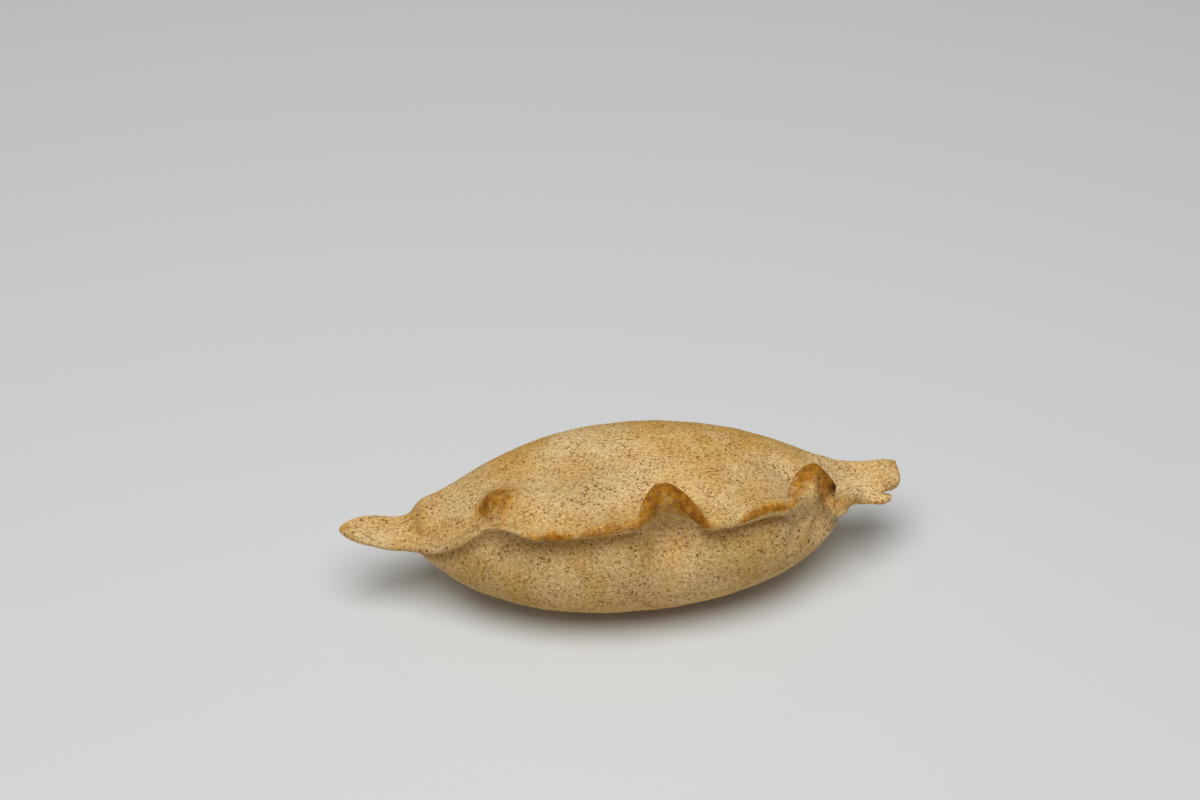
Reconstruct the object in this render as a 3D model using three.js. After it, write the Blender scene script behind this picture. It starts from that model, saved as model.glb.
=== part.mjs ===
// A baked wholemeal empanada: a plump spindle of dough, closed along one side by a folded rim.
// Millimetres, +Z up, X along the length. The pastry lies on z = 0 and its rim faces -Y.
import * as THREE from "three";
import { ParametricGeometry } from "three/addons/geometries/ParametricGeometry.js";
import { mergeVertices } from "three/addons/utils/BufferGeometryUtils.js";

const { degToRad, clamp, lerp, smoothstep, euclideanModulo } = THREE.MathUtils;

// Filled body
const BODY_LENGTH = 131;
const BODY_DEPTH = 65;
const BODY_HEIGHT = 51;
const BELLY_TAPER = { left: 0.68, right: 0.44 }; // power of the taper to each end, 0.5 is an ellipse
const DOME_TAPER = { left: 0.94, right: 0.86 };
const DOME_SHARE = 0.97; // the upper back is a little flatter than the front and the underside
const BODY_SQUARENESS = 2.2; // power of the cross-section, 2 is an ellipse
const BASE_PRESS = 1.6; // how far the round underside is pressed flat where it rests
const UNDER_SEAM = 0.2; // share of the way under the belly over which it swells out to its full reach

// Rim of two layers pressed together
const SEAM_ANGLE = 47; // degrees up the front of the body
const RIM_LEAVING = 54; // degrees at which the rim leaves the body before it bends
const RIM_BEND = { width: 0.45, lean: 0.35 }; // shares of the rim's width and lean at its bend
// Between these angles the rim comes to stand up, and then its back is thinner by a share at the
// root, over a part of its width.
const STANDING = { angles: [45, 90], thinner: 0.9, reach: 0.8 };
const RIM_NOSE = 0.35; // how far the edge bulges out, as a share of its thickness

// The rim's runs from left to right. Each lasts until a place along X and then takes a turn of some
// length into the next. The angle is how far the rim points up, 0 is straight out of the front.
// The lean moves the free edge along X, the tuck draws the dough under the rim inwards, and the fill
// raises the dough in the corner between the rim and the dome.
const RIM_RUNS = [
  { until: -70, turn: 14, angle: 0, width: 6.3, thick: 4.2, lean: 0, tuck: 0, fill: 0 }, // left tab
  { until: -60, turn: 17, angle: 26, width: 5.6, thick: 3.4, lean: 0, tuck: 0, fill: 1 },
  { until: -43, turn: 4.5, angle: 56, width: 6.8, thick: 3.2, lean: 0.5, tuck: 0, fill: 2 },
  { until: -40, turn: 12.5, angle: 46, width: 8.5, thick: 3.6, lean: -1, tuck: 0, fill: 4.2 }, // first fold
  { until: -27, turn: 24, angle: 9, width: 7.8, thick: 4.8, lean: 0, tuck: 0, fill: 4.4 },
  { until: -0.8, turn: 7, angle: 25, width: 7.8, thick: 5, lean: 0, tuck: 0, fill: 2.4 },
  { until: 11.5, turn: 9.6, angle: 104, width: 9.9, thick: 5.8, lean: 0, tuck: 5, fill: 1.5 }, // second fold
  { until: 24, turn: 16, angle: 9, width: 8.1, thick: 5, lean: 0, tuck: 0, fill: 3 },
  { until: 44.4, turn: 6.8, angle: 34, width: 8.1, thick: 6, lean: 0, tuck: -1, fill: 1.6 },
  { until: 51.6, turn: 5, angle: 122, width: 12.6, thick: 7.6, lean: 0, tuck: 1, fill: 0.2 }, // third fold
  { until: 54.4, turn: 4, angle: 94, width: 12.4, thick: 6.4, lean: 6.2, tuck: 3, fill: 0.5 }, // bent tip
  { until: 56, turn: 3, angle: 50, width: 9, thick: 6, lean: -4, tuck: 0, fill: 1 },
  { until: 62, turn: 11, angle: 36, width: 9.6, thick: 6.2, lean: 0, tuck: -1, fill: 1.5 }, // lobe beside it
  { until: 90, turn: 1, angle: -8, width: 5.8, thick: 2.6, lean: 0, tuck: 0, fill: 0 }, // right tab
];
const FILL_ANGLE = 84; // degrees at which the fill rises
const SOFTNESS = 2.4; // how far to both sides along X the sections are evened out
const SOFT_SECTIONS = 13; // how many sections count in that

// Lumps and hollows of the crust: the place along X, the share of the way round the ring from the
// rim's edge over the dome and under the belly, the spread to both sides along X, the spread around
// the ring, the height, how far the lump leans along X and how far it slants along X per ring.
// They are the first fold's mound, the pleat under it, the hollow and the crevice beside it; the
// hollow under the second fold and that fold's front; the hollow beside the third fold, its roll, its
// crest, its slit, its bent tip, the crease and the lobe beside that and two creases of the belly; the
// left shoulder, the crease between it and the left tab, and the right shoulder.
const LUMPS = [
  { at: -40.5, around: 0.212, spread: [2.4, 8], ringSpread: 0.034, height: 3.8, lean: -1.4, slant: 0 },
  { at: -42.5, around: 0.165, spread: [1.3, 6], ringSpread: 0.035, height: 1.2, lean: -0.5, slant: -12 },
  { at: -47, around: 0.19, spread: [4, 2.5], ringSpread: 0.04, height: -1.5, lean: 0, slant: 0 },
  { at: -42.6, around: 0.985, spread: [1.6, 2.4], ringSpread: 0.1, height: -1.4, lean: 0, slant: 0 },
  { at: 9, around: 0.84, spread: [5, 5], ringSpread: 0.028, height: -4, lean: 0, slant: 0 },
  { at: 10, around: 0.915, spread: [6, 7], ringSpread: 0.035, height: 1.5, lean: 0, slant: 0 },
  { at: 45, around: 0.25, spread: [7, 4], ringSpread: 0.04, height: -1.8, lean: 0, slant: 0 },
  { at: 51.1, around: 0.905, spread: [4, 3], ringSpread: 0.05, height: 3.6, lean: 0, slant: 0 },
  { at: 54, around: 0.965, spread: [2.6, 2], ringSpread: 0.035, height: 2.8, lean: 0, slant: 0 },
  { at: 55.4, around: 0.885, spread: [0.9, 1], ringSpread: 0.035, height: -3, lean: 0, slant: 0 },
  { at: 55.8, around: 0, spread: [1.4, 1], ringSpread: 0.05, height: 0.8, lean: 1.4, slant: 0 },
  { at: 57.6, around: 0.99, spread: [0.8, 0.8], ringSpread: 0.06, height: -1.2, lean: 0, slant: 0 },
  { at: 61, around: 0.93, spread: [4, 4], ringSpread: 0.05, height: 1.2, lean: -1, slant: 0 },
  { at: 48.6, around: 0.826, spread: [1.6, 1.6], ringSpread: 0.03, height: -2.2, lean: 0, slant: 100 },
  { at: 54.2, around: 0.83, spread: [1.5, 2], ringSpread: 0.025, height: -1.8, lean: 0, slant: 40 },
  { at: -61, around: 0.33, spread: [2.4, 4], ringSpread: 0.13, height: 2.2, lean: 0, slant: 0 },
  { at: -68, around: 0.15, spread: [1.5, 2.5], ringSpread: 0.08, height: -0.6, lean: 0, slant: 0 },
  { at: 65, around: 0.43, spread: [5, 5], ringSpread: 0.1, height: 1.2, lean: 0, slant: 0 },
];

// Flat tabs beyond the filling: the tip along X, the width behind the seam, the length over which
// the outline narrows, the power of that (0.5 is round, 1 is pointed), the share of the width left
// at the tip, the length over which the end is rounded off, the tab's height over the middle of the
// body and how far the tip curls up from there.
const LEFT_TAB = { tip: -84.9, behind: 7, narrows: 13, power: 1, blunt: 0.03, round: 5, lift: 0, curl: 4.2 };
const RIGHT_TAB = { tip: 82.6, behind: 12, narrows: 5, power: 0.5, blunt: 0.8, round: 2.5, lift: 2, curl: 0 };
const TAB_BEND = 22; // the length over which a tab curls up
const TAB_THICKNESS = 4.2;
const TAB_SQUARENESS = 5;
// How full the body is where the tabs have gone over into it: their flatness, height and seam.
const TAB_ENDS = { flatness: 0.2, height: 0.5, seam: 0.7 };
// Fork in the right tab: its depth, its place across the tab, its width to both sides, how much
// shorter the front lobe is, how round its end is and the length over which the tab is drawn in.
const NOTCH = { depth: 6.5, across: 0.185, below: 0.05, above: 0.18, lobe: 4.2, round: 1.6, length: 15 };

// Mesh
const STATIONS = 124;
const RING = 46;
const SAME_POINT = 0.001; // points as close as this are joined
const BODY_POINTS = 10; // control points on each side, between the rim and the back
const RIM_POINTS = [1, 0.88, 0.62, 0.36, 0.1]; // shares of the rim's width, from its edge inwards
// The points at the rim's root: how far the tuck moves each one below and the fill each one above.
const ROOT_POINTS = [
  { index: 3, tucked: 0.3, filled: 0.3 },
  { index: 4, tucked: 1, filled: 0.75 },
  { index: 5, tucked: 0.8, filled: 1 },
  { index: 6, tucked: 0, filled: 0.5 },
];
const STEP = 0.2; // the step along X for the rim's slope
const SURVEY_STEPS = 2000; // steps in which the sections' places are worked out
const TIP_CLOSENESS = 2; // how much closer the sections lie at the tips
const SHOULDER = { fullness: 0.35, closeness: 1 }; // and where the body starts to swell

const centreHeight = BODY_HEIGHT / 2 - BASE_PRESS;

// How full the body is at x: 1 at its middle, 0 in the tabs.
function fullness(x, taper) {
  const along = clamp((2 * x) / BODY_LENGTH, -1, 1);
  return Math.pow(1 - along * along, x < 0 ? taper.left : taper.right);
}

function tabAt(x) {
  return x < 0 ? LEFT_TAB : RIGHT_TAB;
}

// The share of a tab's width that is left at x.
function narrowing(x) {
  const tab = tabAt(x);
  const inwards = clamp(Math.abs(tab.tip - x) / tab.narrows, 0, 1);
  return lerp(tab.blunt, 1, Math.pow(1 - (1 - inwards) ** 2, tab.power));
}

// The share of a tab's thickness that is left at x: it falls to nothing at the very tip.
function rounding(x) {
  const tab = tabAt(x);
  const inwards = clamp(Math.abs(tab.tip - x) / tab.round, 0, 1);
  return Math.sqrt(1 - (1 - inwards) ** 2);
}

function signedPower(value, power) {
  return Math.sign(value) * Math.pow(Math.abs(value), power);
}

// Direction in the cross-section: 0 points out of the front, 90 degrees points up.
function direction(angle) {
  return new THREE.Vector3(0, -Math.cos(angle), Math.sin(angle));
}

// The rim's angle, width, thickness, lean, tuck and fill at x.
function rimAt(x) {
  const { angle, width, thick, lean, tuck, fill } = RIM_RUNS[0];
  const rim = { angle, width, thick, lean, tuck, fill };
  for (let i = 0; i + 1 < RIM_RUNS.length; i++) {
    const { until, turn } = RIM_RUNS[i];
    const share = smoothstep(x, until, until + turn);
    for (const key in rim) rim[key] += share * (RIM_RUNS[i + 1][key] - RIM_RUNS[i][key]);
  }
  rim.angle = degToRad(rim.angle);
  rim.width *= narrowing(x);
  return rim;
}

// Sizes of the filled body and of the flat tabs at x.
function bodyAt(x) {
  const tab = tabAt(x);
  const belly = fullness(x, BELLY_TAPER);
  const dome = DOME_SHARE * fullness(x, DOME_TAPER);
  const behind = (tab.behind / 2) * narrowing(x);
  const thin = (TAB_THICKNESS / 2) * rounding(x);
  const lift = tab.lift * (1 - smoothstep(dome, 0, TAB_ENDS.height));
  const curl = tab.curl * (1 - smoothstep(Math.abs(tab.tip) - Math.abs(x), 0, TAB_BEND));
  const filled = smoothstep(dome, 0, TAB_ENDS.seam);
  const swollen = smoothstep(belly, 0, TAB_ENDS.flatness);
  return {
    centre: new THREE.Vector3(x, behind * (1 - dome), centreHeight + lift + curl),
    thin,
    swollen,
    power: 2 / lerp(TAB_SQUARENESS, BODY_SQUARENESS, swollen),
    domeDepth: lerp(behind, BODY_DEPTH / 2, dome),
    domeHeight: lerp(thin, BODY_HEIGHT / 2, dome),
    bellyDepth: lerp(behind, BODY_DEPTH / 2, belly),
    bellyHeight: lerp(thin, BODY_HEIGHT / 2, belly),
    seam: degToRad(SEAM_ANGLE) * filled,
    leaving: degToRad(RIM_LEAVING) * filled,
  };
}

// A point of the body at an angle, on its upper side (1), its lower side (-1) or at the seam (0).
// Under the seam the body moves from the dome's reach out to the belly's, and a tab is flat.
function onBody(body, angle, side, below) {
  const forward = Math.cos(angle);
  const upward = Math.sin(angle);
  const depth = forward > 0 ? lerp(body.domeDepth, body.bellyDepth, below) : body.domeDepth;
  const height = upward > 0 ? body.domeHeight : body.bellyHeight;
  const y = -depth * signedPower(forward, body.power);
  const round = height * signedPower(upward, body.power);
  const z = forward > 0 ? lerp(side * body.thin, round, body.swollen) : round;
  return new THREE.Vector3(0, y, z).add(body.centre);
}

// The middle of the rim's thickness at x, from the seam to the free edge.
function rimMidline(x) {
  const body = bodyAt(x);
  const rim = rimAt(x);
  const root = onBody(body, body.seam, 0, 0);
  const halfway = direction((body.leaving + rim.angle) / 2);
  const bend = root.clone().addScaledVector(halfway, RIM_BEND.width * rim.width);
  const edge = root.clone().addScaledVector(direction(rim.angle), rim.width);
  bend.x += RIM_BEND.lean * rim.lean;
  edge.x += rim.lean;
  return new THREE.QuadraticBezierCurve3(root, bend, edge);
}

// Control points of the closed cross-section at x: from the middle of the rim's edge over the rim
// and the dome to the back, and from there under the belly and the rim to the start.
function sectionControls(x) {
  const body = bodyAt(x);
  const rim = rimAt(x);
  const midline = rimMidline(x);
  const before = rimMidline(Math.max(x - STEP, LEFT_TAB.tip));
  const after = rimMidline(Math.min(x + STEP, RIGHT_TAB.tip));
  const thickness = rim.thick * rounding(x);
  const standing = smoothstep(rim.angle, ...STANDING.angles.map(degToRad));
  const upper = [];
  const lower = [];
  for (const share of RIM_POINTS) {
    const point = midline.getPoint(share);
    const alongRim = after.getPoint(share).sub(before.getPoint(share));
    const offset = midline.getTangent(share).cross(alongRim).setLength(thickness / 2);
    const thinner = standing * STANDING.thinner * (1 - smoothstep(share, 0, STANDING.reach));
    upper.push(point.clone().addScaledVector(offset, 1 - thinner));
    lower.push(point.clone().sub(offset));
  }
  for (let i = 1; i <= BODY_POINTS; i++) {
    const share = i / (BODY_POINTS + 1);
    upper.push(onBody(body, lerp(body.seam, Math.PI, share), 1, 0));
    lower.push(onBody(body, lerp(body.seam, -Math.PI, share), -1, smoothstep(share, 0, UNDER_SEAM)));
  }
  const inwards = direction(body.seam).multiplyScalar(-rim.tuck);
  const upwards = direction(degToRad(FILL_ANGLE)).multiplyScalar(rim.fill);
  for (const { index, tucked, filled } of ROOT_POINTS) {
    lower[index].addScaledVector(inwards, tucked);
    upper[index].addScaledVector(upwards, filled);
  }
  const nose = midline.v2.clone().addScaledVector(midline.getTangent(1), RIM_NOSE * thickness);
  return [nose, ...upper, onBody(body, Math.PI, 0, 0), ...lower.reverse()];
}

// The control points at x, evened out with those of the sections to both sides.
function softControls(x) {
  const reach = SOFTNESS * rounding(x);
  const sums = sectionControls(x - reach);
  for (let i = 1; i < SOFT_SECTIONS; i++) {
    const nearby = sectionControls(x + reach * lerp(-1, 1, i / (SOFT_SECTIONS - 1)));
    sums.forEach((sum, j) => sum.add(nearby[j]));
  }
  return sums.map((sum) => sum.divideScalar(SOFT_SECTIONS));
}

// A point on the closed cubic B-spline of the control points, at t from 0 to 1.
function onSpline(controls, t, target) {
  const count = controls.length;
  const place = t * count;
  const first = Math.floor(place);
  const s = place - first;
  const weights = [
    (1 - s) ** 3 / 6,
    (3 * s ** 3 - 6 * s ** 2 + 4) / 6,
    (-3 * s ** 3 + 3 * s ** 2 + 3 * s + 1) / 6,
    s ** 3 / 6,
  ];
  target.set(0, 0, 0);
  weights.forEach((weight, i) => target.addScaledVector(controls[(first + i - 1 + count) % count], weight));
  return target;
}

// How far the fork cuts back the right tab's end, at a share of the width from the rim's edge.
function notchDepth(across) {
  const width = across < NOTCH.across ? NOTCH.below : NOTCH.above;
  const cut = NOTCH.depth * Math.exp(-(((across - NOTCH.across) / width) ** 2));
  const fromMiddle = (2 * across) / NOTCH.across - 1;
  const lobe = across < NOTCH.across ? NOTCH.lobe + NOTCH.round * fromMiddle ** 2 : 0;
  return Math.max(cut, lobe);
}

// Places of the cross-sections: they lie closer together where the rim turns and at the tips.
function stationPlaces() {
  const reach = [0];
  for (let i = 0; i < SURVEY_STEPS; i++) {
    const x = lerp(LEFT_TAB.tip, RIGHT_TAB.tip, (i + 0.5) / SURVEY_STEPS);
    const edgeRun = rimMidline(x + STEP).v2.distanceTo(rimMidline(x - STEP).v2) / (2 * STEP);
    const ending = TIP_CLOSENESS * (1 - rounding(x));
    const swelling = fullness(x, BELLY_TAPER);
    const shoulder = swelling > 0 && swelling < SHOULDER.fullness ? SHOULDER.closeness : 0;
    reach.push(reach[i] + edgeRun + ending + shoulder);
  }
  const places = [];
  for (let i = 0, k = 0; i <= STATIONS; i++) {
    const wanted = (reach[SURVEY_STEPS] * i) / STATIONS;
    while (k < SURVEY_STEPS - 1 && reach[k + 1] < wanted) k++;
    const part = (wanted - reach[k]) / (reach[k + 1] - reach[k]);
    places.push(lerp(LEFT_TAB.tip, RIGHT_TAB.tip, (k + part) / SURVEY_STEPS));
  }
  return places;
}

const places = stationPlaces();

function placeAt(u) {
  const index = Math.min(Math.floor(u * STATIONS), STATIONS - 1);
  return lerp(places[index], places[index + 1], u * STATIONS - index);
}

// Moves a point of the crust by the lumps near x and near a share of the way round the ring.
function raiseLumps(x, around, target) {
  const outwards = new THREE.Vector3(0, target.y, target.z - centreHeight).normalize();
  for (const lump of LUMPS) {
    const turned = euclideanModulo(around - lump.around + 0.5, 1) - 0.5;
    const across = turned / lump.ringSpread;
    const at = lump.at + lump.slant * turned;
    const along = (x - at) / lump.spread[x < at ? 0 : 1];
    const share = Math.exp(-along * along - across * across);
    target.addScaledVector(outwards, lump.height * share);
    target.x += lump.lean * share;
  }
}

function crustPoint(u, v, target) {
  const x = placeAt(u);
  const controls = softControls(x);
  onSpline(controls, v, target);
  raiseLumps(x, v, target);
  const edge = controls[0];
  const back = controls[controls.length / 2];
  const across = clamp((target.y - edge.y) / (back.y - edge.y), 0, 1);
  const ramp = smoothstep(x, RIGHT_TAB.tip - NOTCH.length, RIGHT_TAB.tip);
  target.x -= notchDepth(across) * ramp;
  target.z = Math.max(target.z, 0);
}

// Pastry as one closed solid, with its box centred over the origin.
function empanada() {
  const crust = new ParametricGeometry(crustPoint, STATIONS, RING);
  crust.deleteAttribute("normal");
  crust.deleteAttribute("uv");
  const solid = mergeVertices(crust, SAME_POINT);
  solid.computeBoundingBox();
  const middle = solid.boundingBox.getCenter(new THREE.Vector3());
  solid.translate(-middle.x, -middle.y, 0);
  solid.computeVertexNormals();
  const dough = new THREE.MeshStandardMaterial({ name: "baked_dough", color: 0xcfa974, roughness: 0.85 });
  const mesh = new THREE.Mesh(solid, dough);
  mesh.name = "empanada";
  return mesh;
}

const pastry = new THREE.Group();
pastry.add(empanada());

export default pastry;
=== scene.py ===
import math

import bpy
import numpy as np
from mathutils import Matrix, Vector, noise


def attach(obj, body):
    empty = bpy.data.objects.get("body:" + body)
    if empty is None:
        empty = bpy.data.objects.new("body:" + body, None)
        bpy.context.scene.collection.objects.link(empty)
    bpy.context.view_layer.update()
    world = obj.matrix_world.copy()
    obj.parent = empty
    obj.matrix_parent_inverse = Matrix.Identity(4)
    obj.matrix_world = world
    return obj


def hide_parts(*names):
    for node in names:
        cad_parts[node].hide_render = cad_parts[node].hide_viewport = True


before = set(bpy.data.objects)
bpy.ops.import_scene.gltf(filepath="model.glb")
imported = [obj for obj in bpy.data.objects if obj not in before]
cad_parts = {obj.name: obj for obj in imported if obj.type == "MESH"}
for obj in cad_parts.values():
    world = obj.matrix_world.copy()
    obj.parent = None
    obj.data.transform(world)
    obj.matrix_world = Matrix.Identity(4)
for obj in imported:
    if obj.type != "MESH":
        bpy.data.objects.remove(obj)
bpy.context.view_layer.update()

MM = 0.001  # metres

# Filled body
BODY_LENGTH = 131
BODY_DEPTH = 65
BODY_HEIGHT = 51
BELLY_TAPER = dict(left=0.68, right=0.44)  # power of the taper to each end, 0.5 is an ellipse
DOME_TAPER = dict(left=0.94, right=0.86)
DOME_SHARE = 0.97  # the upper back is a little flatter than the front and the underside
BODY_SQUARENESS = 2.2  # power of the cross-section, 2 is an ellipse
BASE_PRESS = 1.6  # how far the round underside is pressed flat where it rests
UNDER_SEAM = 0.2  # share of the way under the belly over which it swells out to its full reach
CENTRE_HEIGHT = BODY_HEIGHT / 2 - BASE_PRESS

# Rim of two layers pressed together
SEAM_ANGLE = 47  # degrees up the front of the body
RIM_LEAVING = 54  # degrees at which the rim leaves the body before it bends
RIM_BEND = dict(width=0.45, lean=0.35)  # shares of the rim's width and lean at its bend
# Between these angles the rim comes to stand up, and then its back is thinner by a share at the
# root, over a part of its width.
STANDING = dict(angles=(45, 90), thinner=0.9, reach=0.8)
RIM_NOSE = 0.35  # how far the edge bulges out, as a share of its thickness

# The rim's runs from left to right. Each lasts until a place along X and then takes a turn of some
# length into the next. The angle is how far the rim points up, 0 is straight out of the front.
# The lean moves the free edge along X, the tuck draws the dough under the rim inwards, and the fill
# raises the dough in the corner between the rim and the dome.
RIM_RUNS = [
    dict(until=-70, turn=14, angle=0, width=6.3, thick=4.2, lean=0, tuck=0, fill=0),  # left tab
    dict(until=-60, turn=17, angle=26, width=5.6, thick=3.4, lean=0, tuck=0, fill=1),
    dict(until=-43, turn=4.5, angle=56, width=6.8, thick=3.2, lean=0.5, tuck=0, fill=2),
    dict(until=-40, turn=12.5, angle=46, width=8.5, thick=3.6, lean=-1, tuck=3, fill=4.2),  # first fold
    dict(until=-27, turn=24, angle=9, width=7.8, thick=4.8, lean=0, tuck=2, fill=4.4),
    dict(until=-0.8, turn=6.2, angle=25, width=7.8, thick=5, lean=0, tuck=0, fill=2.4),
    dict(until=10.6, turn=8.4, angle=104, width=9.9, thick=6, lean=-1, tuck=5, fill=1.5),  # second fold
    dict(until=24, turn=16, angle=9, width=8.1, thick=5, lean=0, tuck=0, fill=3),
    dict(until=44.4, turn=6.8, angle=34, width=8.1, thick=6, lean=0, tuck=-1, fill=1.6),
    dict(until=51.6, turn=5, angle=122, width=12.6, thick=7.6, lean=0, tuck=1, fill=0.2),  # third fold
    dict(until=54.4, turn=4, angle=94, width=12.4, thick=6.4, lean=6.2, tuck=3, fill=0.5),  # bent tip
    dict(until=56, turn=3, angle=50, width=9, thick=6, lean=-4, tuck=0, fill=1),
    dict(until=62, turn=11, angle=36, width=9.6, thick=6.2, lean=0, tuck=-1, fill=1.5),  # lobe beside it
    dict(until=90, turn=1, angle=-8, width=5.8, thick=2.6, lean=0, tuck=0, fill=0),  # right tab
]
FILL_ANGLE = 84  # degrees at which the fill rises
SOFTNESS = 2.4  # how far to both sides along X the sections are evened out
SOFT_SECTIONS = 13  # how many sections count in that

# Lumps and hollows of the crust: the place along X, the share of the way round the ring from the
# rim's edge over the dome and under the belly, the spread to both sides along X, the spread around
# the ring, the height, how far the lump leans along X and how far it slants along X per ring.
LUMPS = [
    # First fold: its mound, the pleat under it, and the hollow and the crevice beside it
    dict(at=-40.5, around=0.212, spread=(2.4, 8), ring_spread=0.034, height=3.8, lean=-1.4, slant=0),
    dict(at=-42.5, around=0.165, spread=(1.3, 6), ring_spread=0.035, height=1.2, lean=-0.5, slant=-12),
    dict(at=-47, around=0.19, spread=(4, 2.5), ring_spread=0.04, height=-1.5, lean=0, slant=0),
    dict(at=-42.6, around=0.985, spread=(1.6, 2.4), ring_spread=0.1, height=-1.4, lean=0, slant=0),
    # Second fold: the hollow under it and its front
    dict(at=8, around=0.84, spread=(5, 5), ring_spread=0.028, height=-4.5, lean=0, slant=0),
    dict(at=8, around=0.915, spread=(6, 7), ring_spread=0.04, height=1.6, lean=0, slant=0),
    # Third fold: the hollow beside it, its roll, its crest, its slit and its bent tip
    dict(at=45, around=0.25, spread=(7, 4), ring_spread=0.04, height=-1.8, lean=0, slant=0),
    dict(at=51.1, around=0.905, spread=(4, 3), ring_spread=0.05, height=3.6, lean=0, slant=0),
    dict(at=54, around=0.965, spread=(2.6, 2), ring_spread=0.035, height=2.8, lean=0, slant=0),
    dict(at=55.4, around=0.885, spread=(0.9, 1), ring_spread=0.035, height=-3, lean=0, slant=0),
    dict(at=55.8, around=0, spread=(1.4, 1), ring_spread=0.05, height=0.8, lean=1.4, slant=0),
    # Beside the third fold: the crease, the lobe and two creases of the belly
    dict(at=57.6, around=0.99, spread=(0.8, 0.8), ring_spread=0.06, height=-1.2, lean=0, slant=0),
    dict(at=61, around=0.93, spread=(4, 4), ring_spread=0.05, height=1.2, lean=-1, slant=0),
    dict(at=48.6, around=0.826, spread=(1.6, 1.6), ring_spread=0.03, height=-2.2, lean=0, slant=100),
    dict(at=54.2, around=0.83, spread=(1.5, 2), ring_spread=0.025, height=-1.8, lean=0, slant=40),
    # Left shoulder, the crease between it and the left tab, and the right shoulder
    dict(at=-61, around=0.33, spread=(2.4, 4), ring_spread=0.13, height=2.2, lean=0, slant=0),
    dict(at=-68, around=0.15, spread=(1.5, 2.5), ring_spread=0.08, height=-0.6, lean=0, slant=0),
    dict(at=65, around=0.43, spread=(5, 5), ring_spread=0.1, height=1.2, lean=0, slant=0),
]

# Flat tabs beyond the filling: the tip along X, the width behind the seam, the length over which
# the outline narrows, the power of that (0.5 is round, 1 is pointed), the share of the width left
# at the tip, the length over which the end is rounded off, the tab's height over the middle of the
# body and how far the tip curls up from there.
LEFT_TAB = dict(tip=-84.9, behind=7, narrows=13, power=1, blunt=0.03, round=5, lift=0, curl=4.2)
RIGHT_TAB = dict(tip=82.6, behind=12, narrows=5, power=0.5, blunt=0.8, round=2.5, lift=2, curl=0)
TAB_BEND = 22  # the length over which a tab curls up
TAB_THICKNESS = 4.2
TAB_SQUARENESS = 5
# How full the body is where the tabs have gone over into it: their flatness, height and seam.
TAB_ENDS = dict(flatness=0.2, height=0.5, seam=0.7)
# Fork in the right tab: its depth, its place across the tab, its width to both sides, how much
# shorter the front lobe is, how round its end is and the length over which the tab is drawn in.
NOTCH = dict(depth=6.5, across=0.185, below=0.05, above=0.18, lobe=4.2, round=1.6, length=15)

# Mesh
STATIONS = 420
RING = 216  # even, so that the upper and the lower half of a tip meet point on point
BODY_POINTS = 10  # control points on each side, between the rim and the back
RIM_POINTS = (1, 0.88, 0.62, 0.36, 0.1)  # shares of the rim's width, from its edge inwards
# The points at the rim's root: how far the tuck moves each one below and the fill each one above.
ROOT_POINTS = [
    dict(index=3, tucked=0.3, filled=0.3),
    dict(index=4, tucked=1, filled=0.75),
    dict(index=5, tucked=0.8, filled=1),
    dict(index=6, tucked=0.45, filled=0.5),
]
STEP = 0.2  # the step along X for the rim's slope
FREE_EDGE = 2  # which point of the rim's midline is its free edge
SURVEY_STEPS = 2000  # steps in which the places of the sections and the ring's points are worked out
TIP_CLOSENESS = 2  # how much closer the sections lie at the tips
RIM_CLOSENESS = 60  # millimetres of extra length that draw the ring's points to the rim

# Unevenness of the dough, from slow swells to small dents: the size, height and stretch along X
UNEVENNESS = [
    dict(size=26, height=0.8, stretch=1.5),
    dict(size=9, height=0.35, stretch=1.8),
    dict(size=3.2, height=0.12, stretch=2.2),
]
TIP_CALM = 10  # the length of each tab's end over which the unevenness fades
SUNK = 0.5  # how far under the solid's surface the unevenness lies, as a share of its height
SHORTEST_NORMAL = 1e-9  # below this a normal has no direction, as at the very tips

# Browning along the rim: the place along X, how brown the edge is there and how far the browning
# reaches from the edge over the upper and the lower face.
RIM_BROWNING = [
    dict(at=-85, strength=0.6, above=2, below=2),  # left tip
    dict(at=-78, strength=0.2, above=2, below=2),
    dict(at=-50, strength=0.1, above=3, below=2),
    dict(at=-37, strength=0.15, above=4, below=1),
    dict(at=-30, strength=0.75, above=5, below=1.5),  # left lip
    dict(at=-26, strength=1.25, above=5.5, below=2),
    dict(at=-19, strength=0.65, above=5, below=2),
    dict(at=-11.5, strength=0.85, above=5.5, below=2),
    dict(at=-4, strength=0.75, above=5, below=2.5),
    dict(at=0, strength=0.9, above=4, below=5),
    dict(at=3.5, strength=1.1, above=4.5, below=15),  # second fold
    dict(at=9, strength=1.05, above=4.5, below=18),
    dict(at=13, strength=1.35, above=5, below=12),
    dict(at=17.5, strength=1.2, above=4.5, below=5),
    dict(at=20.5, strength=0.3, above=3, below=2),
    dict(at=27, strength=0.35, above=2.5, below=1),
    dict(at=30, strength=1, above=3.2, below=1),  # right lip
    dict(at=36, strength=1.2, above=3.6, below=1.4),
    dict(at=44, strength=0.85, above=2.8, below=1.2),
    dict(at=47.5, strength=0.8, above=4, below=4),
    dict(at=51, strength=1.1, above=6, below=12),  # third fold
    dict(at=55.5, strength=1.25, above=6, below=10),
    dict(at=58, strength=0.6, above=3, below=3),
    dict(at=61, strength=0.55, above=5, below=3),  # lobe beside it
    dict(at=67, strength=0.6, above=4, below=2.5),
    dict(at=83, strength=0.7, above=2, below=2),  # right tip
]

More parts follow.
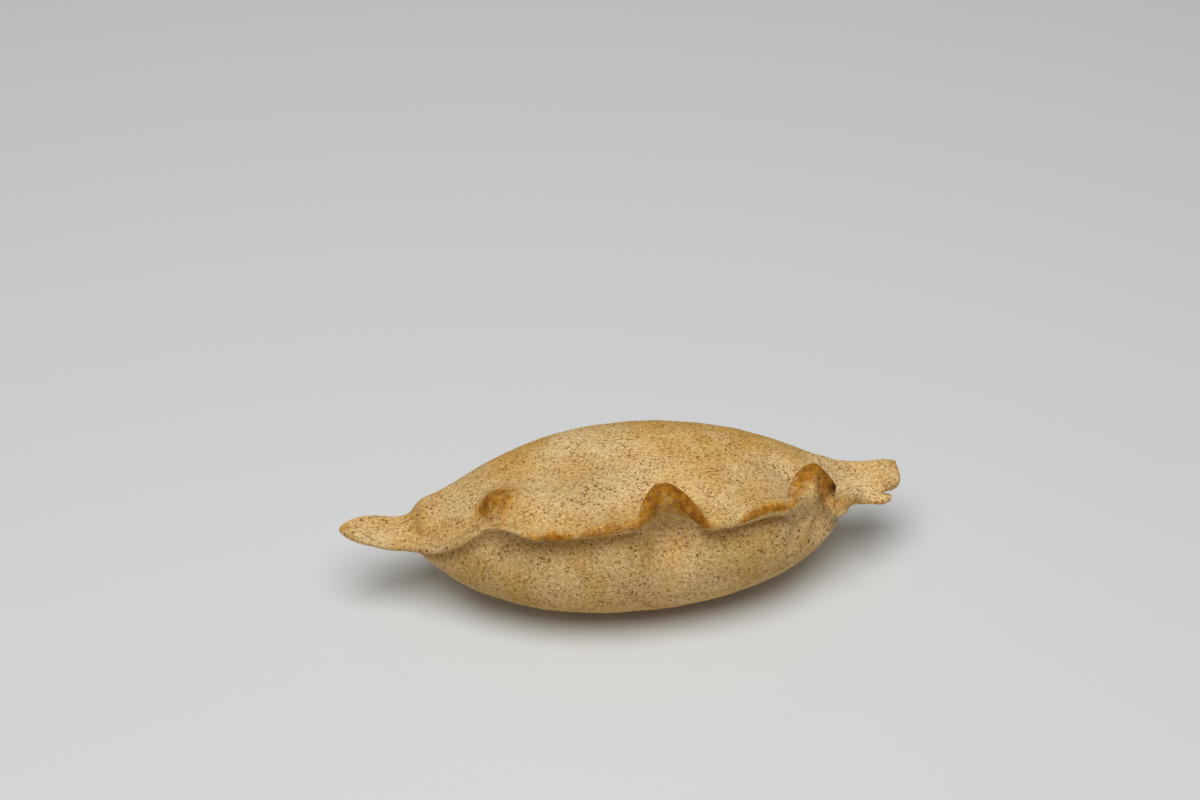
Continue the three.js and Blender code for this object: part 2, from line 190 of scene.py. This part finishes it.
# Spots of browning, scorching, gold, bare flour with one painted highlight, and painted shade: the place
# along X, the share round the ring, the radius and the strength
SPOTS = dict(
    browned=[
        dict(at=-39, around=0.215, radius=8, strength=1.05),
        dict(at=-42.5, around=0.215, radius=5, strength=1.3),
        dict(at=-84.4, around=0.1, radius=3, strength=0.8),
        dict(at=82, around=0.4, radius=4, strength=0.6),
    ],
    scorched=[
        dict(at=56.6, around=0.005, radius=2.4, strength=1),
    ],
    golden=[
        dict(at=8, around=0.4, radius=34, strength=1),
        dict(at=-28, around=0.36, radius=20, strength=0.8),
        dict(at=38, around=0.33, radius=20, strength=0.7),
        dict(at=5, around=0.72, radius=40, strength=0.5),
        dict(at=-42, around=0.76, radius=24, strength=0.4),
        dict(at=-66, around=0.25, radius=18, strength=0.5),
        dict(at=76, around=0.3, radius=16, strength=0.4),
    ],
    flour_and_highlight=[
        dict(at=-58, around=0.23, radius=18, strength=0.2),
        dict(at=-2, around=0.22, radius=10, strength=0.6),
        # Painted highlight: a pale patch on the middle of the dome, where the light falls fullest
        dict(at=-10, around=0.33, radius=17, strength=0.9),
        dict(at=44, around=0.24, radius=9, strength=0.9),
        dict(at=70, around=0.28, radius=14, strength=0.5),
        dict(at=-76, around=0.2, radius=10, strength=0.5),
        dict(at=10, around=0.77, radius=14, strength=0.5),
    ],
    # Painted shade: darker, greyer dough where the belly turns under and in the hollow above the rim
    painted_shade=[
        dict(at=-45, around=0.77, radius=26, strength=0.34),
        dict(at=-14, around=0.2, radius=15, strength=0.25),
        dict(at=2, around=0.78, radius=26, strength=0.22),
        dict(at=40, around=0.78, radius=24, strength=0.22),
        dict(at=-60, around=0.22, radius=16, strength=0.12),
    ],
)

# Camera, in millimetres and degrees, in the photograph's frame of 1200 by 800 pixels
FRAME_WIDTH, FRAME_HEIGHT = 1200, 800
CAMERA_AZIMUTH = -7.5
CAMERA_ELEVATION = 40
CAMERA_LENS = 85
SENSOR = 36
MM_PER_PIXEL = 0.295
BODY_PIXEL = (628, 515)  # where the middle of the filled body shows

# Light and floor, in millimetres and watts
KEY_LIGHT = dict(place=(-100, -320, 1080), size=900, power=11)
SKY_COLOUR = "#ffffff"
SKY_STRENGTH = 0.19
FLOOR_SIZE = 6000
FLOOR_COLOUR = "#dadcdc"
FLOOR_ROUGHNESS = 0.9


def lerp(start, end, share):
    return start + (end - start) * share


def smoothstep(value, start, end):
    share = np.clip((value - start) / (end - start), 0, 1)
    return share * share * (3 - 2 * share)


# How full the body is at x: 1 at its middle, 0 in the tabs.
def fullness(x, taper):
    along = np.clip(2 * x / BODY_LENGTH, -1, 1)
    return (1 - along**2) ** np.where(x < 0, taper["left"], taper["right"])


def tab_at(x):
    return {key: np.where(x < 0, LEFT_TAB[key], RIGHT_TAB[key]) for key in LEFT_TAB}


# The share of a tab's width that is left at x.
def narrowing(x):
    tab = tab_at(x)
    inwards = np.clip(np.abs(tab["tip"] - x) / tab["narrows"], 0, 1)
    return lerp(tab["blunt"], 1, (1 - (1 - inwards) ** 2) ** tab["power"])


# The share of a tab's thickness that is left at x: it falls to nothing at the very tip.
def rounding(x):
    tab = tab_at(x)
    inwards = np.clip(np.abs(tab["tip"] - x) / tab["round"], 0, 1)
    return np.sqrt(1 - (1 - inwards) ** 2)


def signed_power(value, power):
    return np.sign(value) * np.abs(value) ** power


# Direction in the cross-section: 0 points out of the front, 90 degrees points up.
def direction(angle):
    return np.stack([np.zeros_like(angle), -np.cos(angle), np.sin(angle)], axis=-1)


# The rim's angle, width, thickness, lean, tuck and fill at x.
def rim_at(x):
    keys = ("angle", "width", "thick", "lean", "tuck", "fill")
    rim = {key: np.full_like(x, RIM_RUNS[0][key]) for key in keys}
    for run, following in zip(RIM_RUNS, RIM_RUNS[1:]):
        share = smoothstep(x, run["until"], run["until"] + run["turn"])
        for key in rim:
            rim[key] += share * (following[key] - run[key])
    rim["angle"] = np.radians(rim["angle"])
    rim["width"] *= narrowing(x)
    return rim


# Sizes of the filled body and of the flat tabs at x.
def body_at(x):
    tab = tab_at(x)
    belly = fullness(x, BELLY_TAPER)
    dome = DOME_SHARE * fullness(x, DOME_TAPER)
    behind = tab["behind"] / 2 * narrowing(x)
    thin = TAB_THICKNESS / 2 * rounding(x)
    lift = tab["lift"] * (1 - smoothstep(dome, 0, TAB_ENDS["height"]))
    curl = tab["curl"] * (1 - smoothstep(np.abs(tab["tip"]) - np.abs(x), 0, TAB_BEND))
    filled = smoothstep(dome, 0, TAB_ENDS["seam"])
    swollen = smoothstep(belly, 0, TAB_ENDS["flatness"])
    return dict(
        centre=np.stack([x, behind * (1 - dome), CENTRE_HEIGHT + lift + curl], axis=-1),
        thin=thin,
        swollen=swollen,
        power=2 / lerp(TAB_SQUARENESS, BODY_SQUARENESS, swollen),
        dome_depth=lerp(behind, BODY_DEPTH / 2, dome),
        dome_height=lerp(thin, BODY_HEIGHT / 2, dome),
        belly_depth=lerp(behind, BODY_DEPTH / 2, belly),
        belly_height=lerp(thin, BODY_HEIGHT / 2, belly),
        seam=math.radians(SEAM_ANGLE) * filled,
        leaving=math.radians(RIM_LEAVING) * filled,
    )


# A point of the body at an angle, on its upper side (1), its lower side (-1) or at the seam (0).
# Under the seam the body moves from the dome's reach out to the belly's, and a tab is flat.
def on_body(body, angle, side, below):
    forward = np.cos(angle)
    upward = np.sin(angle)
    under = lerp(body["dome_depth"], body["belly_depth"], below)
    depth = np.where(forward > 0, under, body["dome_depth"])
    height = np.where(upward > 0, body["dome_height"], body["belly_height"])
    y = -depth * signed_power(forward, body["power"])
    rounded = height * signed_power(upward, body["power"])
    z = np.where(forward > 0, lerp(side * body["thin"], rounded, body["swollen"]), rounded)
    return np.stack([np.zeros_like(y), y, z], axis=-1) + body["centre"]


# The middle of the rim's thickness at x: its seam, its bend and its free edge.
def rim_midline(x):
    body = body_at(x)
    rim = rim_at(x)
    root = on_body(body, body["seam"], 0, 0)
    halfway = direction((body["leaving"] + rim["angle"]) / 2)
    bend = root + halfway * (RIM_BEND["width"] * rim["width"])[:, None]
    edge = root + direction(rim["angle"]) * rim["width"][:, None]
    bend[:, 0] += RIM_BEND["lean"] * rim["lean"]
    edge[:, 0] += rim["lean"]
    return root, bend, edge


def on_curve(curve, share):
    root, bend, edge = curve
    return (1 - share) ** 2 * root + 2 * share * (1 - share) * bend + share**2 * edge


def curve_slope(curve, share):
    root, bend, edge = curve
    slope = (1 - share) * (bend - root) + share * (edge - bend)
    return slope / np.linalg.norm(slope, axis=-1, keepdims=True)


# Control points of the closed cross-sections at x: from the middle of the rim's edge over the rim
# and the dome to the back, and from there under the belly and the rim to the start.
def section_controls(x):
    body = body_at(x)
    rim = rim_at(x)
    midline = rim_midline(x)
    before = rim_midline(np.maximum(x - STEP, LEFT_TAB["tip"]))
    after = rim_midline(np.minimum(x + STEP, RIGHT_TAB["tip"]))
    thickness = rim["thick"] * rounding(x)
    standing = smoothstep(rim["angle"], *np.radians(STANDING["angles"]))
    upper = []
    lower = []
    for share in RIM_POINTS:
        point = on_curve(midline, share)
        along_rim = on_curve(after, share) - on_curve(before, share)
        across = np.cross(curve_slope(midline, share), along_rim)
        across /= np.linalg.norm(across, axis=-1, keepdims=True)
        offset = across * (thickness / 2)[:, None]
        thinner = standing * STANDING["thinner"] * (1 - smoothstep(share, 0, STANDING["reach"]))
        upper.append(point + offset * (1 - thinner)[:, None])
        lower.append(point - offset)
    for i in range(1, BODY_POINTS + 1):
        share = i / (BODY_POINTS + 1)
        upper.append(on_body(body, lerp(body["seam"], math.pi, share), 1, 0))
        below = smoothstep(share, 0, UNDER_SEAM)
        lower.append(on_body(body, lerp(body["seam"], -math.pi, share), -1, below))
    inwards = direction(body["seam"]) * -rim["tuck"][:, None]
    upwards = direction(np.full_like(x, math.radians(FILL_ANGLE))) * rim["fill"][:, None]
    for point in ROOT_POINTS:
        lower[point["index"]] += inwards * point["tucked"]
        upper[point["index"]] += upwards * point["filled"]
    nose = midline[FREE_EDGE] + curve_slope(midline, 1) * (RIM_NOSE * thickness)[:, None]
    back = on_body(body, np.full_like(x, math.pi), 0, 0)
    return np.stack([nose, *upper, back, *reversed(lower)], axis=1)


# The control points at x, evened out with those of the sections to both sides.
def soft_controls(x):
    reach = SOFTNESS * rounding(x)
    steps = np.linspace(-1, 1, SOFT_SECTIONS)
    return np.mean([section_controls(x + step * reach) for step in steps], axis=0)


# The share that each control point has in each point of a closed cubic B-spline round the ring.
def spline_weights(around, count):
    place = around * count
    first = np.floor(place).astype(int)
    s = place - first
    shares = [(1 - s) ** 3, 3 * s**3 - 6 * s**2 + 4, -3 * s**3 + 3 * s**2 + 3 * s + 1, s**3]
    weights = np.zeros((len(around), count))
    for i, share in enumerate(shares):
        weights[np.arange(len(around)), (first + i - 1) % count] += share / 6
    return weights


# How far the fork cuts back the right tab's end, at a share of the width from the rim's edge.
def notch_depth(across):
    width = np.where(across < NOTCH["across"], NOTCH["below"], NOTCH["above"])
    cut = NOTCH["depth"] * np.exp(-(((across - NOTCH["across"]) / width) ** 2))
    from_middle = 2 * across / NOTCH["across"] - 1
    lobe = np.where(across < NOTCH["across"], NOTCH["lobe"] + NOTCH["round"] * from_middle**2, 0)
    return np.maximum(cut, lobe)


# Moves the points of the crust by the lumps near them.
def raise_lumps(points, x, around):
    outwards = points - [0, 0, CENTRE_HEIGHT]
    outwards[..., 0] = 0
    outwards /= np.linalg.norm(outwards, axis=-1, keepdims=True)
    for lump in LUMPS:
        turned = (around - lump["around"] + 0.5) % 1 - 0.5
        across = turned / lump["ring_spread"]
        at = lump["at"] + lump["slant"] * turned
        along = (x - at) / np.where(x < at, *lump["spread"])
        share = np.exp(-(along**2) - across**2)
        points += outwards * (lump["height"] * share)[..., None]
        points[..., 0] += lump["lean"] * share


# Points of the crust, one row for each place along X and one column for each share round the ring.
def crust_points(x, around):
    controls = soft_controls(x)
    points = np.einsum("rc,scd->srd", spline_weights(around, controls.shape[1]), controls)
    raise_lumps(points, x[:, None], around[None, :])
    edge = controls[:, 0, 1][:, None]
    back = controls[:, controls.shape[1] // 2, 1][:, None]
    across = np.clip((points[..., 1] - edge) / (back - edge), 0, 1)
    ramp = smoothstep(x, RIGHT_TAB["tip"] - NOTCH["length"], RIGHT_TAB["tip"])
    points[..., 0] -= notch_depth(across) * ramp[:, None]
    points[..., 2] = np.maximum(points[..., 2], 0)
    return points


# Places of the cross-sections: they lie closer together where the rim turns and at the tips.
def station_places():
    survey = np.linspace(LEFT_TAB["tip"], RIGHT_TAB["tip"], SURVEY_STEPS + 1)
    middle = (survey[1:] + survey[:-1]) / 2
    moved = rim_midline(middle + STEP)[FREE_EDGE] - rim_midline(middle - STEP)[FREE_EDGE]
    edge_run = np.linalg.norm(moved, axis=-1) / (2 * STEP)
    closeness = edge_run + TIP_CLOSENESS * (1 - rounding(middle))
    reach = np.concatenate([[0], np.cumsum(closeness)])
    return np.interp(np.linspace(0, reach[-1], STATIONS), reach, survey)


# Shares round the ring, evenly along the body's middle section but closer on the rim.
def ring_places():
    survey = np.linspace(0, 1, SURVEY_STEPS + 1)
    section = crust_points(np.array([0.0]), survey)[0]
    lengths = np.linalg.norm(np.diff(section, axis=0), axis=-1)
    lengths = (lengths + lengths[::-1]) / 2 + RIM_CLOSENESS / SURVEY_STEPS
    reach = np.concatenate([[0], np.cumsum(lengths)])
    return np.interp(np.linspace(0, reach[-1], RING + 1), reach, survey)[:-1]


# The distance of each point from the rim's edge round the ring, by way of the upper face and by way
# of the lower face.
def distance_from_edge(points):
    closed = np.concatenate([points, points[:, :1]], axis=1)
    lengths = np.linalg.norm(np.diff(closed, axis=1), axis=-1)
    over = np.concatenate([np.zeros((len(points), 1)), np.cumsum(lengths, axis=1)[:, :-1]], axis=1)
    under = np.sum(lengths, axis=1, keepdims=True) - over
    return over, under


# How strongly each point is in one of the spots.
def spot_shares(points, spots):
    total = np.zeros(points.shape[:2])
    for spot in spots:
        middle = crust_points(np.array([float(spot["at"])]), np.array([float(spot["around"])]))[0, 0]
        distance = np.linalg.norm(points - middle, axis=-1)
        total = np.maximum(total, spot["strength"] * np.exp(-((distance / spot["radius"]) ** 2)))
    return total


# How brown, scorched, golden and floury the crust is at each point, and its painted highlight and painted
# shade.
def baking(points, x):
    over, under = distance_from_edge(points)
    places = [row["at"] for row in RIM_BROWNING]
    rim = {}
    for key in ("strength", "above", "below"):
        rim[key] = np.interp(x, places, [row[key] for row in RIM_BROWNING])[:, None]
    reached = np.where(over < under, over / rim["above"], under / rim["below"])
    edge = rim["strength"] * np.exp(-(reached**2))
    layers = {name: spot_shares(points, spots) for name, spots in SPOTS.items()}
    layers["browned"] = np.maximum(edge, layers["browned"])
    return layers


# Height of the dough's unevenness at each point.
def unevenness(points, x):
    inwards = np.minimum(x - LEFT_TAB["tip"], RIGHT_TAB["tip"] - x)
    calm = smoothstep(inwards, 0, TIP_CALM)[:, None]
    heights = np.zeros(points.shape[:2])
    for wave in UNEVENNESS:
        places = (points / wave["size"] / [wave["stretch"], 1, 1]).reshape(-1, 3)
        values = np.array([noise.noise(Vector(place)) for place in places])
        heights += wave["height"] * (values.reshape(heights.shape) - SUNK)
    return heights * calm


# Outward direction of each point, from its neighbours along X and round the ring.
def outward(points):
    along = np.gradient(points, axis=0)
    around = np.roll(points, -1, axis=1) - np.roll(points, 1, axis=1)
    normals = np.cross(along, around)
    lengths = np.linalg.norm(normals, axis=-1, keepdims=True)
    return normals / np.maximum(lengths, SHORTEST_NORMAL)


# The closed crust as a mesh: at each tip the lower half of the ring uses the upper half's points.
def crust_mesh(points, layers):
    index = np.arange(points.shape[0] * RING).reshape(-1, RING)
    half = RING // 2
    for tip in (0, -1):
        index[tip, half + 1:] = index[tip, 1:half][::-1]
    turned = np.roll(index, -1, axis=1)
    quads = np.stack([index[:-1], index[1:], turned[1:], turned[:-1]], axis=-1).reshape(-1, 4)
    used, quads = np.unique(quads, return_inverse=True)
    mesh = bpy.data.meshes.new("empanada_crust")
    mesh.from_pydata((points.reshape(-1, 3)[used] * MM).tolist(), [], quads.reshape(-1, 4).tolist())
    for name, values in layers.items():
        layer = mesh.attributes.new(name, "FLOAT", "POINT")
        layer.data.foreach_set("value", values.reshape(-1)[used].astype(np.float32))
    mesh.shade_smooth()
    return mesh


# sRGB hex to the linear colour that shaders use
def colour(hex_value):
    parts = [int(hex_value[i:i + 2], 16) / 255 for i in (1, 3, 5)]
    linear = [part / 12.92 if part <= 0.04045 else ((part + 0.055) / 1.055) ** 2.4 for part in parts]
    return (*linear, 1)


# A node with its settings and inputs, of which one output is used on. An input is a value or
# another node's output.
def add(tree, kind, output, inputs, **settings):
    node = tree.nodes.new(kind)
    for name, value in settings.items():
        setattr(node, name, value)
    for socket, value in inputs.items():
        if isinstance(value, bpy.types.NodeSocket):
            tree.links.new(value, node.inputs[socket])
        else:
            node.inputs[socket].default_value = value
    return node.outputs[output]


# The texture scale at which a pattern has this size, in object coordinates of metres.
def scale_of(size):
    return 1 / (size * MM)


# Inputs of a colour mix: its factor and its two colours
FACTOR, FIRST, SECOND = 0, 6, 7
MIXED = 2  # its output

# Colours of the dough and of its painted shade, of which flour, gold and brown vary between two
FLOUR = dict(dark="#d9b47c", light="#f4d69e")
GOLD = dict(dark="#c09346", light="#e4b966")
BROWN = dict(baked="#c68b28", toasted="#7f4502")
# Painted shade, laid on the belly and in the hollow above the rim
PAINTED_SHADE_TONE = "#7a592c"
SCORCH = "#3d210b"

# Soft patches of the dough: their size, the heights of the pattern at which they begin and are full
# and, where they are added to another value, how much they count
MEAL = dict(size=0.9, low=0.35, high=0.65)
GOLDEN_PATCHES = dict(size=11, low=0.42, high=0.6, weight=0.45)
TOASTING = dict(size=1.9, low=0.35, high=0.65, weight=0.75)
BLOTCHES = dict(size=2.8, low=0.3, high=0.7, weight=-0.45)
CROWDING = dict(size=5, low=0.35, high=0.65, weight=0.06)  # places with more flecks of bran
PATCH_DETAIL = 3  # how many finer layers the pattern has

# The browning over which the dough turns brown, and over which the brown turns dark
TURNS_BROWN = dict(low=0, high=0.65)
TURNS_DARK = dict(low=0.8, high=1.9)

# Flecks of bran: their spacing, the height of the pattern above which it is bran, how strongly they
# cover the dough and their colour. The finest are drawn coarser than the real ones, which would be
# too small to show.
BRAN = [
    dict(spacing=0.55, above=0.57, cover=0.45, tone="#a0733a"),
    dict(spacing=0.75, above=0.63, cover=0.7, tone="#80521a"),
    dict(spacing=1, above=0.7, cover=0.8, tone="#643c10"),
]
BRAN_STRETCH = 1.1  # how much longer the flecks are along the roll
BRAN_EDGE = 0.05  # the height of the pattern over which a fleck fades out
BRAN_DETAIL = 1  # how many finer layers the pattern has

# Grain of the crust: its size, height and strength and how many finer layers it has
GRAIN = dict(size=1.1, height=0.25, strength=0.35, detail=4)

# Finish of the dry crust
CRUST_ROUGHNESS = 0.75
CRUST_GLOSS = 0.12


# Soft patches of one kind: 0 in some places and 1 in others.
def patches(tree, vector, kind):
    inputs = {"Vector": vector, "Scale": scale_of(kind["size"]), "Detail": PATCH_DETAIL}
    pattern = add(tree, "ShaderNodeTexNoise", "Fac", inputs)
    inputs = {"Value": pattern, "From Min": kind["low"], "From Max": kind["high"]}
    return add(tree, "ShaderNodeMapRange", 0, inputs)


# A value with the patches of one kind added to it.
def with_patches(tree, vector, kind, value):
    inputs = {0: patches(tree, vector, kind), 1: kind["weight"], 2: value}
    return add(tree, "ShaderNodeMath", 0, inputs, operation="MULTIPLY_ADD")


# Flecks of one kind: the peaks of a pattern, of which more show in crowded places.
def flecks(tree, vector, place, kind):
    inputs = {"Vector": vector, "Scale": scale_of(kind["spacing"]), "Detail": BRAN_DETAIL}
    pattern = add(tree, "ShaderNodeTexNoise", "Fac", inputs)
    pattern = with_patches(tree, place, CROWDING, pattern)
    above = kind["above"]
    inputs = {"Value": pattern, "From Min": above, "From Max": above + BRAN_EDGE, "To Max": kind["cover"]}
    return add(tree, "ShaderNodeMapRange", 0, inputs)


# Baked wholemeal dough, rolled out and baked dry: a matt crust with hardly any gloss, beige where flour
# is left on it, paler in a painted highlight on the middle of the dome, golden where it faced the heat,
# darker in painted shade on the belly and in the hollow above the rim, brown on the rim and the folds,
# and full of small dark flecks of bran that are a little longer along the roll.
def baked_wholemeal_dough():
    material = bpy.data.materials.new("baked_wholemeal_dough")
    material.use_nodes = True
    tree = material.node_tree
    shader = tree.nodes["Principled BSDF"]
    place = add(tree, "ShaderNodeTexCoord", "Object", {})
    stretched = add(tree, "ShaderNodeMapping", 0, {"Vector": place, "Scale": (1 / BRAN_STRETCH, 1, 1)})
    layers = {}
    for name in SPOTS:
        layers[name] = add(tree, "ShaderNodeAttribute", "Fac", {}, attribute_name=name)

    meal = patches(tree, stretched, MEAL)
    inputs = {FACTOR: meal, FIRST: colour(FLOUR["dark"]), SECOND: colour(FLOUR["light"])}
    flour = add(tree, "ShaderNodeMix", MIXED, inputs, data_type="RGBA")
    inputs = {FACTOR: meal, FIRST: colour(GOLD["dark"]), SECOND: colour(GOLD["light"])}
    gold = add(tree, "ShaderNodeMix", MIXED, inputs, data_type="RGBA")
    golden = with_patches(tree, place, GOLDEN_PATCHES, layers["golden"])
    # Bare flour, and the painted highlight on the middle of the dome, take the place of the gold.
    inputs = {0: golden, 1: layers["flour_and_highlight"]}
    uncovered = add(tree, "ShaderNodeMath", 0, inputs, operation="SUBTRACT", use_clamp=True)
    inputs = {FACTOR: uncovered, FIRST: flour, SECOND: gold}
    dough = add(tree, "ShaderNodeMix", MIXED, inputs, data_type="RGBA")
    # Painted shade darkens the dough on the belly and in the hollow above the rim.
    inputs = {FACTOR: layers["painted_shade"], FIRST: dough, SECOND: colour(PAINTED_SHADE_TONE)}
    dough = add(tree, "ShaderNodeMix", MIXED, inputs, data_type="RGBA")

    toasting = with_patches(tree, place, TOASTING, layers["browned"])
    inputs = {"Value": toasting, "From Min": TURNS_DARK["low"], "From Max": TURNS_DARK["high"]}
    toasted = add(tree, "ShaderNodeMapRange", 0, inputs)
    inputs = {FACTOR: toasted, FIRST: colour(BROWN["baked"]), SECOND: colour(BROWN["toasted"])}
    brown = add(tree, "ShaderNodeMix", MIXED, inputs, data_type="RGBA")
    blotchy = with_patches(tree, place, BLOTCHES, layers["browned"])
    inputs = {"Value": blotchy, "From Min": TURNS_BROWN["low"], "From Max": TURNS_BROWN["high"]}
    browned = add(tree, "ShaderNodeMapRange", 0, inputs)
    inputs = {FACTOR: browned, FIRST: dough, SECOND: brown}
    dough = add(tree, "ShaderNodeMix", MIXED, inputs, data_type="RGBA")

    for kind in BRAN:
        inputs = {FACTOR: flecks(tree, stretched, place, kind), FIRST: dough, SECOND: colour(kind["tone"])}
        dough = add(tree, "ShaderNodeMix", MIXED, inputs, data_type="RGBA")
    inputs = {FACTOR: layers["scorched"], FIRST: dough, SECOND: colour(SCORCH)}
    dough = add(tree, "ShaderNodeMix", MIXED, inputs, data_type="RGBA")
    tree.links.new(dough, shader.inputs["Base Color"])

    inputs = {"Vector": stretched, "Scale": scale_of(GRAIN["size"]), "Detail": GRAIN["detail"]}
    grain = add(tree, "ShaderNodeTexNoise", "Fac", inputs)
    inputs = {"Height": grain, "Strength": GRAIN["strength"], "Distance": GRAIN["height"] * MM}
    tree.links.new(add(tree, "ShaderNodeBump", 0, inputs), shader.inputs["Normal"])
    shader.inputs["Roughness"].default_value = CRUST_ROUGHNESS
    shader.inputs["Specular IOR Level"].default_value = CRUST_GLOSS
    return material


# Plain floor paint, rolled on: pale and matt
def pale_floor_paint():
    material = bpy.data.materials.new("pale_floor_paint")
    material.use_nodes = True
    shader = material.node_tree.nodes["Principled BSDF"]
    shader.inputs["Base Color"].default_value = colour(FLOOR_COLOUR)
    shader.inputs["Roughness"].default_value = FLOOR_ROUGHNESS
    return material


# Crust, moved so that its smooth form has the solid's middle and its lowest point is on the floor.
# It gives back where the middle of the filled body is.
def make_empanada():
    x = station_places()
    around = ring_places()
    points = crust_points(x, around)
    middle = (points.min(axis=(0, 1)) + points.max(axis=(0, 1))) / 2
    layers = baking(points, x)
    points += outward(points) * unevenness(points, x)[..., None]
    points -= [middle[0], middle[1], points[..., 2].min()]
    piece = bpy.data.objects.new("empanada_crust", crust_mesh(points, layers))
    bpy.context.scene.collection.objects.link(piece)
    piece.data.materials.append(baked_wholemeal_dough())
    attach(piece, "root")
    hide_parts("empanada")
    return Vector((-middle[0], -middle[1], CENTRE_HEIGHT)) * MM


# Camera that sees the middle of the filled body at its pixel of the photograph
def make_camera(body_middle):
    azimuth = math.radians(CAMERA_AZIMUTH)
    elevation = math.radians(CAMERA_ELEVATION)
    back = Vector((
        math.sin(azimuth) * math.cos(elevation),
        -math.cos(azimuth) * math.cos(elevation),
        math.sin(elevation),
    ))
    right = Vector((math.cos(azimuth), math.sin(azimuth), 0))
    up = back.cross(right)
    across = (FRAME_WIDTH / 2 - BODY_PIXEL[0]) * MM_PER_PIXEL * MM
    upward = (BODY_PIXEL[1] - FRAME_HEIGHT / 2) * MM_PER_PIXEL * MM
    distance = FRAME_WIDTH * MM_PER_PIXEL * MM * CAMERA_LENS / SENSOR
    data = bpy.data.cameras.new("camera")
    data.sensor_width = SENSOR
    data.lens = CAMERA_LENS
    camera = bpy.data.objects.new("camera", data)
    camera.location = body_middle + right * across + up * upward + back * distance
    camera.rotation_euler = back.to_track_quat("Z", "Y").to_euler()
    bpy.context.scene.collection.objects.link(camera)
    bpy.context.scene.camera = camera


# Wide soft light from above the front, turned to the empanada
def make_key_light():
    data = bpy.data.lights.new("soft_key", "AREA")
    data.shape = "DISK"
    data.size = KEY_LIGHT["size"] * MM
    data.energy = KEY_LIGHT["power"]
    light = bpy.data.objects.new("soft_key", data)
    light.location = Vector(KEY_LIGHT["place"]) * MM
    light.rotation_euler = light.location.to_track_quat("Z", "Y").to_euler()
    bpy.context.scene.collection.objects.link(light)


def make_floor():
    bpy.ops.mesh.primitive_plane_add(size=FLOOR_SIZE * MM)
    floor = bpy.context.object
    floor.name = "floor"
    floor.data.materials.append(pale_floor_paint())


# Even white light from all sides, and colours shown as they are
def make_surroundings():
    world = bpy.data.worlds.new("studio")
    bpy.context.scene.world = world
    world.use_nodes = True
    world.node_tree.nodes["Background"].inputs["Color"].default_value = colour(SKY_COLOUR)
    world.node_tree.nodes["Background"].inputs["Strength"].default_value = SKY_STRENGTH
    bpy.context.scene.view_settings.view_transform = "Standard"


body_middle = make_empanada()
make_camera(body_middle)
make_floor()
make_key_light()
make_surroundings()
